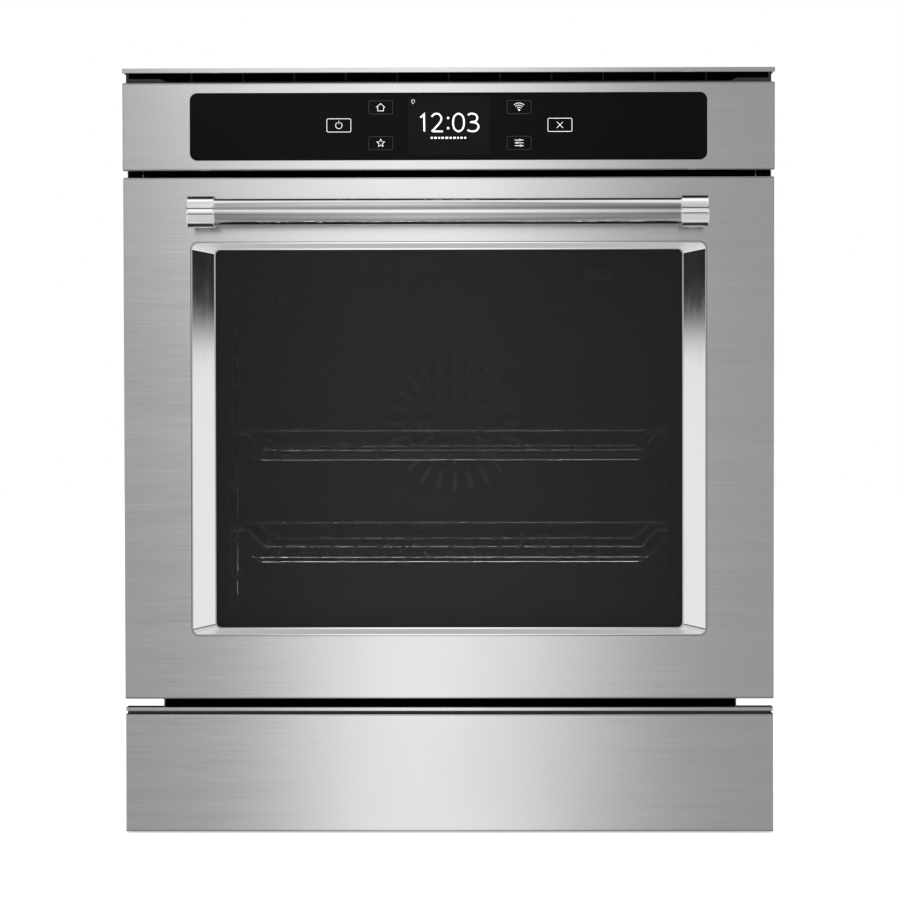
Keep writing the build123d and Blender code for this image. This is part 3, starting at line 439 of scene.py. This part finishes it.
def icon_house(ink, x, z):
    ink.stroke([(x - 0.0040, z), (x, z + 0.0036), (x + 0.0040, z)], LINE)
    walls = ((-0.0027, 0.0006), (-0.0027, -0.0032), (0.0027, -0.0032), (0.0027, 0.0006))
    ink.stroke([(x + u, z + v) for u, v in walls], LINE)


def icon_star(ink, x, z):
    tips = [((0.0038, 0.0017)[i % 2], radians(90 + 36 * i)) for i in range(10)]
    ink.stroke([(x + r * cos(t), z + r * sin(t)) for r, t in tips], LINE * 0.9, closed=True)


def icon_waves(ink, x, z):
    ink.arc(x, z - 0.0026, 0.0006, 0, 360, LINE * 1.4, 10)
    for radius in (0.0026, 0.0046, 0.0066):
        ink.arc(x, z - 0.0028, radius, 45, 135, LINE, 12)


def icon_sliders(ink, x, z):
    for row, knob in ((-0.0026, 0.0014), (0.0, -0.0018), (0.0026, 0.0006)):
        ink.stroke([(x - 0.0042, z + row), (x + knob - 0.0008, z + row)], LINE)
        ink.stroke([(x + knob + 0.0008, z + row), (x + 0.0042, z + row)], LINE)
        ink.arc(x + knob, z + row, 0.0008, 0, 360, LINE * 0.8, 10)


def icon_cross(ink, x, z):
    ink.stroke([(x - 0.0028, z - 0.0028), (x + 0.0028, z + 0.0028)], LINE)
    ink.stroke([(x - 0.0028, z + 0.0028), (x + 0.0028, z - 0.0028)], LINE)


PANEL_Z = (GLASS_LOW[2] + GLASS_HIGH[2]) / 2 + 0.0011
SIDE_ROW = 0.0165  # the dim keys stand this far above and below the middle
BRIGHT_KEYS = ((-0.1012, PANEL_Z, icon_power), (0.1032, PANEL_Z, icon_cross))
DIM_KEYS = (
    (-0.0625, PANEL_Z + SIDE_ROW, icon_house),
    (-0.0625, PANEL_Z - SIDE_ROW, icon_star),
    (0.0655, PANEL_Z + SIDE_ROW, icon_waves),
    (0.0655, PANEL_Z - SIDE_ROW, icon_sliders),
)
bright_ink = Print(PRINT_Y)
dim_ink = Print(PRINT_Y)
for x, z, draw in BRIGHT_KEYS:
    bright_ink.outline(x, z, *KEY_BOX, LINE)
    draw(bright_ink, x, z)
for x, z, draw in DIM_KEYS:
    dim_ink.outline(x, z, *KEY_BOX, LINE * 0.7)
    draw(bright_ink, x, z)
bright_ink.finish("panel_print_bright", PRINT_WHITE, "cabinet")
dim_ink.finish("panel_print_dim", PRINT_DIM, "cabinet")

# each numeral's centre line in a box of 1 by 1
NUMERALS = {
    "1": [(0.05, 0.78), (0.34, 0.97), (0.36, 0.0)],
    "2": [(0.06, 0.84), (0.3, 0.98), (0.62, 0.98), (0.84, 0.78), (0.74, 0.52), (0.38, 0.22), (0.08, 0.01)],
    "0": [(0.5, 1.0), (0.84, 0.84), (0.94, 0.5), (0.84, 0.16), (0.5, 0.0), (0.16, 0.16), (0.06, 0.5),
          (0.16, 0.84)],
    "3": [(0.08, 0.92), (0.36, 1.0), (0.7, 0.94), (0.84, 0.76), (0.7, 0.57), (0.36, 0.52), (0.74, 0.47),
          (0.94, 0.27), (0.76, 0.05), (0.4, 0.0), (0.04, 0.07)],
}


def curve(points, closed=False, steps=6):
    """A smooth line through the points."""
    count = len(points)
    made = []
    for i in range(count if closed else count - 1):
        around = range(i - 1, i + 3)
        pick = [points[j % count if closed else min(max(j, 0), count - 1)] for j in around]
        for step in range(steps):
            t = step / steps
            made.append(tuple(0.5 * (2 * q + (r - p) * t + (2 * p - 5 * q + 4 * r - u) * t ** 2
                                     + (3 * q - p - 3 * r + u) * t ** 3)
                              for p, q, r, u in zip(*pick)))
    return made if closed else made + [points[-1]]


def numeral(ink, mark, x, z, wide, high, width):
    """A plain rounded numeral with its centre at x and z."""
    line = [(x + (u - 0.5) * wide, z + (v - 0.5) * high) for u, v in NUMERALS[mark]]
    if mark == "1":
        ink.stroke(line, width)
    elif mark == "0":
        ink.stroke(curve(line, closed=True), width, closed=True)
    else:
        ink.stroke(curve(line), width)
    if mark == "2":
        ink.stroke([line[-1], (x + wide * 0.46, z - high / 2)], width)


CLOCK_Z = PANEL_Z + 0.0024
# where each numeral's middle stands, and the numeral
CLOCK = ((-0.0205, "1"), (-0.0103, "2"), (0.0095, "0"), (0.0230, "3"))
NUMERAL_W, NUMERAL_H, NUMERAL_LINE = 0.0115, 0.0164, 0.0015
clock_ink = Print(PRINT_Y)
for place, mark in CLOCK:
    numeral(clock_ink, mark, place, CLOCK_Z, NUMERAL_W, NUMERAL_H, NUMERAL_LINE)
for row in (-0.0052, 0.0042):
    clock_ink.arc(-0.0001, CLOCK_Z + row, 0.0006, 0, 360, 0.001, 12)

# a row of dashes where the real display has a date
DASHES = (0.0018, 0.0024, 0.0016, 0.0021, 0.0026, 0.0019, 0.0023, 0.0015, 0.0022, 0.0017)
DASH_Z, DASH_HIGH, DASH_GAP = PANEL_Z - 0.0117, 0.0017, 0.0014
dash = -0.0162
for length in DASHES:
    clock_ink.stroke([(dash, DASH_Z), (dash + length, DASH_Z)], DASH_HIGH)
    dash += length + DASH_GAP

LAMP_X, LAMP_Z = -0.0325, PANEL_Z + 0.0222
clock_ink.arc(LAMP_X, LAMP_Z, 0.0014, -60, 240, LINE * 0.8, 14)
clock_ink.stroke([(LAMP_X - 0.0006, LAMP_Z - 0.0022), (LAMP_X + 0.0006, LAMP_Z - 0.0022)], LINE)
clock_ink.finish("clock_digits", PRINT_WHITE, "cabinet")

SCREEN_LEFT, SCREEN_RIGHT = -0.0375, 0.0385
SCREEN_LOW, SCREEN_HIGH = PANEL_Z - 0.0272, PANEL_Z + 0.0262
screen = Print(PRINT_Y + 0.00002)
screen.polygon([(SCREEN_LEFT, SCREEN_LOW), (SCREEN_RIGHT, SCREEN_LOW), (SCREEN_RIGHT, SCREEN_HIGH),
                (SCREEN_LEFT, SCREEN_HIGH)])
screen.finish("panel_screen", PRINT_SCREEN, "cabinet")

# ------------------------------------------------------------------ window border
PANE_LOW, PANE_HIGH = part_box("door_glass_outer")
WINDOW_Z = (PANE_LOW[2] + PANE_HIGH[2]) / 2


def flat_ring(name, outer, inner, depth, thickness, centre_z, material, body):
    """An upright ring with round corners and real thickness, such as a printed border."""
    rings = [rounded_box(0, centre_z, *outer, 0.004, 6), rounded_box(0, centre_z, *inner, 0.005, 6)]
    count = len(rings[0])
    verts = [(x, y, z) for y in (depth, depth + thickness) for ring in rings for x, z in ring]
    faces = []
    for i in range(count):
        j = (i + 1) % count
        a, b, c, d = i, j, count + j, count + i
        back = 2 * count
        faces += [(a, b, c, d), (back + a, back + d, back + c, back + b), (a, back + a, back + b, b),
                  (d, c, back + c, back + d)]
    return piece(name, verts, faces, material, body)


# black print for the window's border, also used for the painted shade strip in the lower slot
FRIT_AND_SLOT_SHADE = painted("window_print_and_slot_shade", (0.004, 0.004, 0.004), 0.35, 0.02, 0.05)
BORDER_OUTER = (0.445, 0.355)
BORDER_INNER = (0.408, 0.3345)
flat_ring("window_border", BORDER_OUTER, BORDER_INNER, PANE_HIGH[1] + 0.0002, 0.0003, WINDOW_Z, FRIT_AND_SLOT_SHADE, "door")

# ------------------------------------------------------------------ painted shade strip in the lower slot, and edges in the gaps
def bar(name, low, high, material, body):
    """A small box between two corners."""
    verts = [(x, y, z) for x in (low[0], high[0]) for y in (low[1], high[1]) for z in (low[2], high[2])]
    faces = [(0, 1, 3, 2), (4, 6, 7, 5), (0, 4, 5, 1), (2, 3, 7, 6), (0, 2, 6, 4), (1, 5, 7, 3)]
    return piece(name, verts, faces, material, body)


TRIM_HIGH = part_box("bottom_trim")[1][2]
SLOT_SHADE_HALF = 0.2985
# painted shade: a thin black strip just inside the lower slot stands in for the shade in it
bar("lower_slot_painted_shade", (-SLOT_SHADE_HALF, FRONT_Y + 0.0026, TRIM_HIGH + 0.0001),
    (SLOT_SHADE_HALF, FRONT_Y + 0.0038, TRIM_HIGH + 0.0024), FRIT_AND_SLOT_SHADE, "cabinet")

# pale edges on the front frame, in the gap between the control panel and the door
FRAME_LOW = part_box("front_frame")[0]
EDGE_X, EDGE_HALF, EDGE_THICK = 0.2868, 0.0003, 0.0008
EDGE_LOW, EDGE_HIGH = 0.6086, 0.6124
for side, sign in (("left", -1), ("right", 1)):
    bar("frame_edge_" + side, (sign * EDGE_X - EDGE_HALF, FRAME_LOW[1] - EDGE_THICK, EDGE_LOW),
        (sign * EDGE_X + EDGE_HALF, FRAME_LOW[1], EDGE_HIGH), MATERIALS["galvanised_steel"], "cabinet")

# painted glints: small faintly glowing discs on the cut ends of the racks' floor wires stand in for their
# highlights
WIRE_END_GLINTS = glow("wire_end_glints", (0.8, 0.8, 0.8), 0.12)
WIRES, WIRE_PITCH = 17, 0.0231
END_R, END_SET_BACK, END_HEIGHT = 0.0009, 0.0009, 0.0099
for rack in ("rack_upper", "rack_lower"):
    low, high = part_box(rack)
    end_z = low[2] + END_HEIGHT
    glints = Print(low[1] + END_SET_BACK)
    for i in range(WIRES):
        end_x = (i - WIRES // 2) * WIRE_PITCH
        turns = [radians(60 * corner) for corner in range(6)]
        glints.polygon([(end_x + END_R * cos(turn), end_z + END_R * sin(turn)) for turn in turns])
    glints.finish(rack + "_wire_end_glints", WIRE_END_GLINTS, rack)

# ------------------------------------------------------------------ stage, light, camera
FLOOR_REACH, FLOOR_Z = 9.0, -0.001


def floor_finish(name):
    """Matt pale floor, lit a little from within so that it meets the white background."""
    made = Shader(name)
    grain = made.noise(made.position(), 60, 3.0)
    made.colour(made.mix(grain, (0.86, 0.86, 0.86), (0.9, 0.9, 0.9)))
    made.rough(made.ramp(grain, 0, 1, 0.8, 0.9))
    made.set(Emission_Color=(1, 1, 1, 1), Emission_Strength=0.5)
    return made.material


floor_mesh = bpy.data.meshes.new("floor")
corners = [(x * FLOOR_REACH, y * FLOOR_REACH, FLOOR_Z) for x, y in ((-1, -1), (1, -1), (1, 1), (-1, 1))]
floor_mesh.from_pydata(corners, [], [(0, 1, 2, 3)])
floor = bpy.data.objects.new("floor", floor_mesh)
bpy.context.scene.collection.objects.link(floor)
floor.data.materials.append(floor_finish("floor"))
floor.visible_glossy = False


# brightness of the studio in front of the oven, by elevation in degrees from the floor to overhead
STUDIO = ((-90, 0.67), (-67, 0.67), (-48, 0.74), (-33, 0.55), (-21, 0.54), (-12, 1.0), (-7, 1.24), (6, 1.3),
          (12, 0.8), (20, 0.4), (30, 0.36), (40, 0.5), (50, 0.65), (58, 0.82), (70, 0.97), (90, 1.0))
STUDIO_PEAK = 1.3
STUDIO_GAIN = 1.5
DIFFUSE_LEVEL = 0.75
LOBE_SHIFT = 0.0265


def world_light():
    """Pale studio for glossy rays: a bright column in front of the oven, and beside it white below the
    horizon, dark above it and white again overhead. Diffuse rays meet an even grey, the camera white."""
    world = bpy.data.worlds.new("studio")
    bpy.context.scene.world = world
    world.use_nodes = True
    world.node_tree.nodes.clear()
    made = Nodes(world.node_tree)
    math, smooth = made.math, made.smooth

    parts = made.node("ShaderNodeSeparateXYZ")
    made.link(made.node("ShaderNodeTexCoord").outputs["Generated"], parts.inputs[0])
    side, depth, height = parts.outputs
    azimuth = math("ARCTAN2", math("ADD", side, LOBE_SHIFT), math("MULTIPLY", depth, -1.0))
    rise = math("ARCSINE", height)

    # the brightest part of the column: its left edge leans outward with height, its right edge is upright
    lean = smooth(rise, radians(0), radians(7), 0.0, radians(3))
    left = smooth(math("ADD", azimuth, lean), radians(-3.1), radians(-0.1), 0.0, 1.0)
    right = smooth(azimuth, radians(0.5), radians(4.6), 1.0, 0.0)
    lobe = math("MULTIPLY", left, right)

    bands = made.node("ShaderNodeValToRGB")
    stops = bands.color_ramp.elements
    while len(stops) < len(STUDIO):
        stops.new(0.5)
    for stop, (degree, value) in zip(stops, STUDIO):
        stop.position = (degree + 90) / 180
    for stop, (degree, value) in zip(stops, STUDIO):
        stop.color = (*(value / STUDIO_PEAK,) * 3, 1)
    made.link(math("ADD", math("MULTIPLY", rise, 1 / radians(180)), 0.5), bands.inputs["Fac"])
    band = math("MULTIPLY", bands.outputs["Color"], STUDIO_GAIN)
    centre = math("MULTIPLY", math("ADD", math("MULTIPLY", lobe, 0.66), 0.34), band)

    horizon = smooth(height, radians(0.0), radians(0.95), 1.07, 0.022)
    fade = smooth(rise, radians(-32), radians(-10), 0.42, 1.0)
    overhead = smooth(rise, radians(24), radians(62), 0.0, 1.1)
    around = math("ADD", math("MULTIPLY", horizon, fade), overhead)
    in_front = smooth(math("ABSOLUTE", azimuth), radians(9), radians(24), 1.0, 0.0)
    beside = math("SUBTRACT", 1.0, in_front)
    glossy = math("ADD", math("MULTIPLY", in_front, centre), math("MULTIPLY", beside, around))

    path = made.node("ShaderNodeLightPath")
    diffuse = path.outputs["Is Diffuse Ray"]
    reflected = math("MULTIPLY", glossy, math("SUBTRACT", 1.0, diffuse))
    level = math("ADD", reflected, math("MULTIPLY", diffuse, DIFFUSE_LEVEL))
    shown = made.node("ShaderNodeMix", data_type="FLOAT")
    made.link(path.outputs["Is Camera Ray"], shown.inputs[0])
    made.link(level, shown.inputs[2])
    shown.inputs[3].default_value = 1.0
    light = made.node("ShaderNodeBackground")
    light.inputs["Color"].default_value = (1, 1, 1, 1)
    made.link(shown.outputs[0], light.inputs["Strength"])
    made.link(light.outputs[0], made.node("ShaderNodeOutputWorld").inputs["Surface"])


world_light()


def softbox(name, place, target, size, power, glossy):
    """A rectangular soft light aimed at a point; glossy says whether reflections show it."""
    lamp = bpy.data.lights.new(name, "AREA")
    lamp.shape = "RECTANGLE"
    lamp.size, lamp.size_y = size
    lamp.energy = power
    made = bpy.data.objects.new(name, lamp)
    made.location = place
    made.rotation_euler = (Vector(target) - Vector(place)).to_track_quat("-Z", "Y").to_euler()
    made.visible_camera = False
    made.visible_glossy = glossy
    bpy.context.scene.collection.objects.link(made)


MIDDLE = (0, 0, 0.4)
softbox("light_left", (-2.6, -2.0, 2.6), MIDDLE, (1.8, 1.8), 45, False)
softbox("light_right", (2.8, -1.4, 2.2), MIDDLE, (1.6, 1.6), 30, False)
softbox("light_back", (0.6, 3.0, 2.4), MIDDLE, (2.0, 1.6), 45, False)

# a dim light low behind the door that picks out the racks' front wires
softbox("light_cavity", (0, -0.272, 0.176), (0, -0.2, 0.36), (0.4, 0.012), 0.38, True)

scene = bpy.context.scene
scene.view_settings.view_transform = "Standard"
scene.view_settings.look = "None"

SENSOR = 36.0
CAMERA_DISTANCE = 3.5
FIELD = 900 * 0.0009262  # the frame's 900 pixels, at the metres each covers on the front face
camera_data = bpy.data.cameras.new("camera")
camera = bpy.data.objects.new("camera", camera_data)
scene.collection.objects.link(camera)
YAW, PITCH, ROLL = radians(0.8), radians(1.3), radians(-0.098)
TARGET = Vector((0.0011, FRONT_Y, 0.3549))
back = Vector((sin(YAW) * cos(PITCH), -cos(YAW) * cos(PITCH), sin(PITCH)))
camera.location = TARGET + back * CAMERA_DISTANCE
camera.rotation_euler = (-back).to_track_quat("-Z", "Y").to_euler()
camera.rotation_euler.rotate_axis("Z", ROLL)
camera_data.sensor_width = SENSOR
camera_data.lens = SENSOR * CAMERA_DISTANCE / FIELD
camera_data.clip_end = 60
scene.camera = camera
